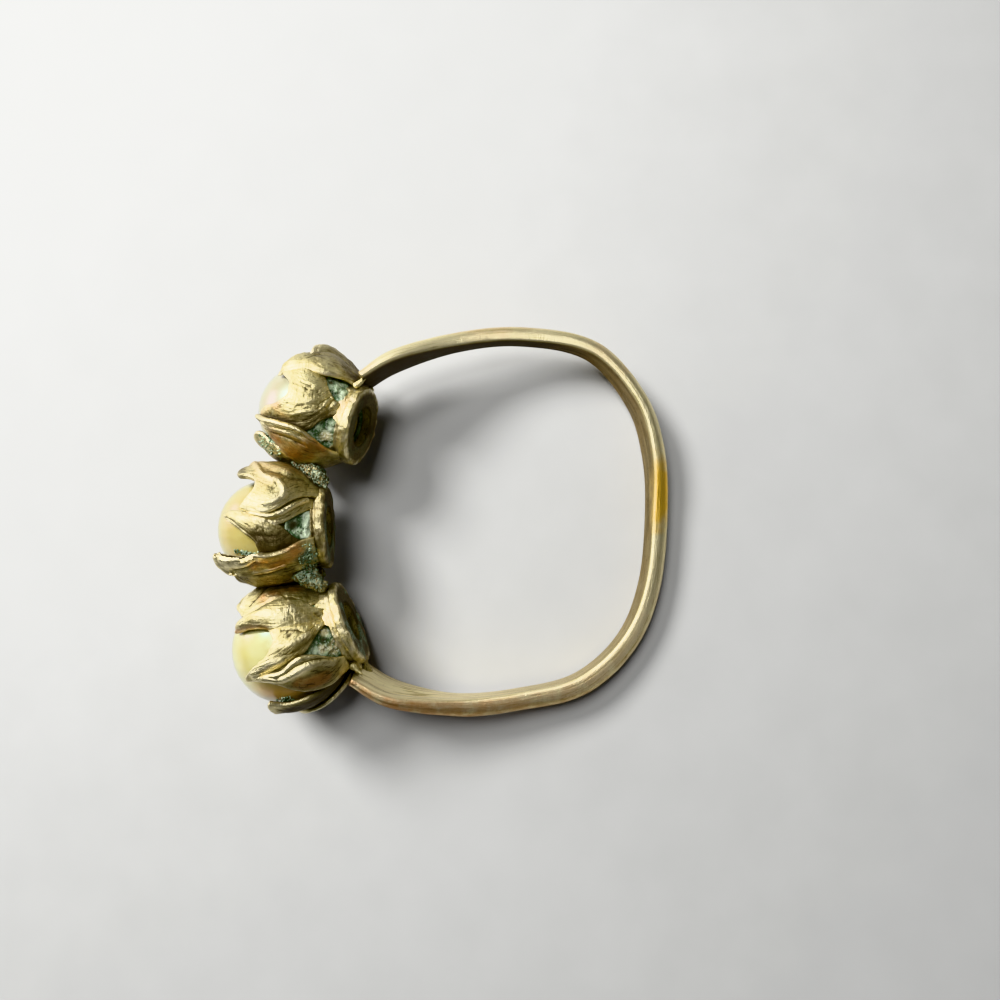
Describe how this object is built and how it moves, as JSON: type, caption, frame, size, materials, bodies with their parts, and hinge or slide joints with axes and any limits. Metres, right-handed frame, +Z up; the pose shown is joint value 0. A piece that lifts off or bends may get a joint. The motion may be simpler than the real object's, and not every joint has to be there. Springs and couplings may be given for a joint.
{
  "type": "pearl ring",
  "caption": "Worn gilt finger ring with pearls in rosebud cups of folded petals, soldered side by side across a thin half-round band; it lies on its side.",
  "frame": {"origin": "on the floor under the middle of the ring's box, the ring lying on its side", "axes": "+Z up off the floor, the cups face -Y, +Y points to the back of the band, +X to the lower cup's side"},
  "size_m": [0.0184, 0.0208, 0.0064],
  "materials": {
    "gilt_metal": "worn gilding over a brass-coloured metal, with copper stains and verdigris",
    "pearl": "cream-yellow nacre, satin"
  },
  "bodies": {
    "root": {"soldered_mount": "gilt_metal", "pearl_upper": "pearl", "pearl_middle": "pearl", "pearl_lower": "pearl"}
  },
  "joints": []
}
